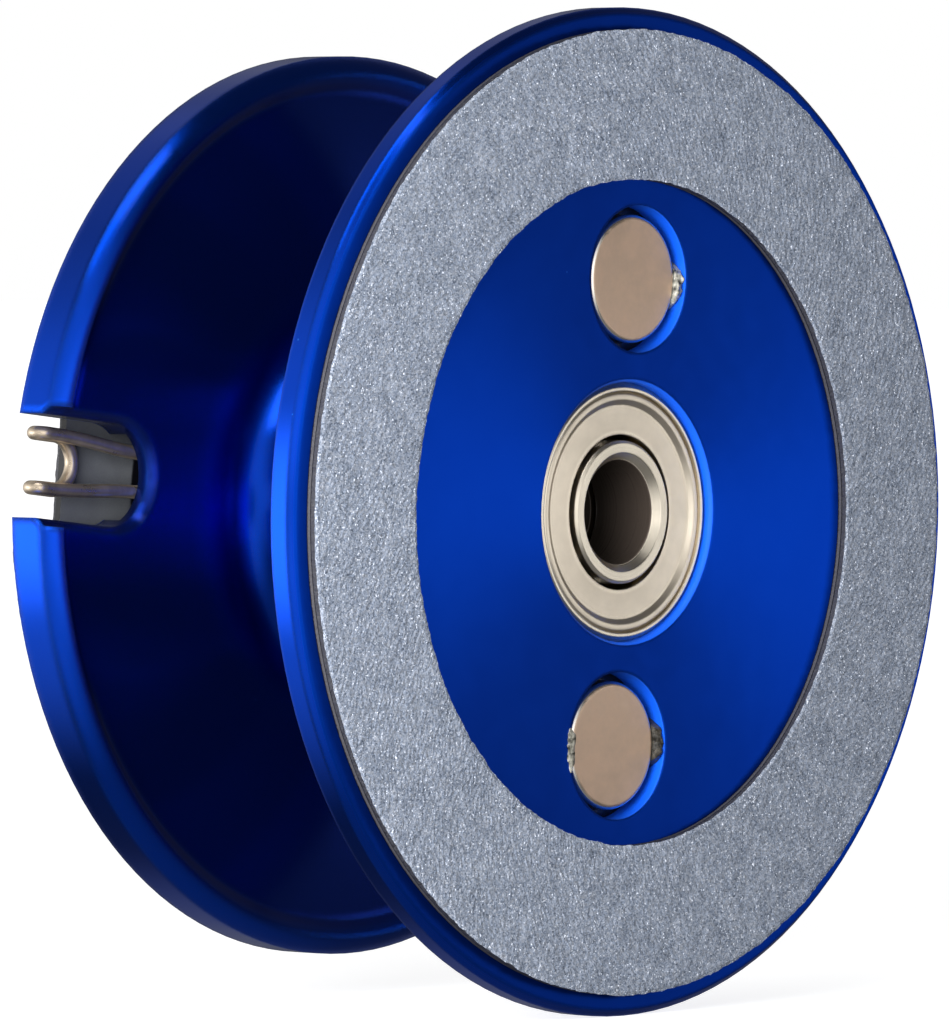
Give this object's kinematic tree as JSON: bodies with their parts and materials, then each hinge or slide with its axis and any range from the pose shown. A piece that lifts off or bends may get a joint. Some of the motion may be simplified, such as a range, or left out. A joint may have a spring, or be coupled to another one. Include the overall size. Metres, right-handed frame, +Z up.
{
  "type": "yo-yo line spool",
  "caption": "Twin-flange aluminium spool that spins on shielded ball bearings, with a grip ring, disc magnets and a slotted flange with a wire line keeper.",
  "frame": {"origin": "on the axle, half way between the outer faces of the two metal flanges, inside the through bore", "axes": "+Y along the axle from the wide flange (grip ring, magnets) towards the slotted flange; +Z up; the slot opens towards -X"},
  "size_m": [0.0582, 0.0259, 0.0582],
  "materials": {
    "anodised_blue": "blue anodised, satin, fine lathe marks",
    "race_steel": "ground, slightly warm",
    "shield_steel": "pressed sheet, satin",
    "spacer_steel": "blackened, dull",
    "ball_steel": "polished",
    "cage_brass": "machined",
    "grip_film": "gritty film with bright specks",
    "grip_foam": "foam adhesive, cut edge",
    "plate_steel": "grey, matt",
    "magnet_nickel": "nickel plated, slightly dull",
    "adhesive": "clear resin, glossy",
    "keeper_steel": "polished spring wire",
    "screw_steel": "dark"
  },
  "bodies": {
    "axle_core": {"near_inner_race": "race_steel", "far_inner_race": "race_steel", "bearing_spacer": "spacer_steel"},
    "spool": {"near_flange": "anodised_blue", "spool_core": "anodised_blue", "near_outer_race": "race_steel", "far_outer_race": "race_steel", "near_front_shield": "shield_steel", "near_back_shield": "shield_steel", "far_front_shield": "shield_steel", "far_back_shield": "shield_steel", "near_grip_ring": "grip_film", "near_grip_backing": "grip_foam", "far_grip_foam": "grip_foam", "far_backing_plate": "plate_steel", "far_grip_ring": "grip_film", "upper_magnet": "magnet_nickel", "lower_magnet": "magnet_nickel", "magnet_adhesive": "adhesive", "keeper_wire": "keeper_steel", "keeper_clamp": "plate_steel", "keeper_screws": "screw_steel"},
    "near_cage_set": {"near_cage": "cage_brass", "near_balls": "ball_steel"},
    "far_cage_set": {"far_cage": "cage_brass", "far_balls": "ball_steel"}
  },
  "joints": [
    {"name": "spool_spin", "type": "hinge", "parent": "axle_core", "child": "spool", "pos_m": [0, 0, 0], "axis": [0, 1, 0], "continuous": true},
    {"name": "near_cage_spin", "type": "hinge", "parent": "axle_core", "child": "near_cage_set", "pos_m": [0, 0, 0], "axis": [0, 1, 0], "continuous": true},
    {"name": "far_cage_spin", "type": "hinge", "parent": "axle_core", "child": "far_cage_set", "pos_m": [0, 0, 0], "axis": [0, 1, 0], "continuous": true}
  ],
  "couplings": [
    {"joint": "near_cage_spin", "follows": "spool_spin", "ratio": 0.6238},
    {"joint": "far_cage_spin", "follows": "spool_spin", "ratio": 0.6238}
  ]
}
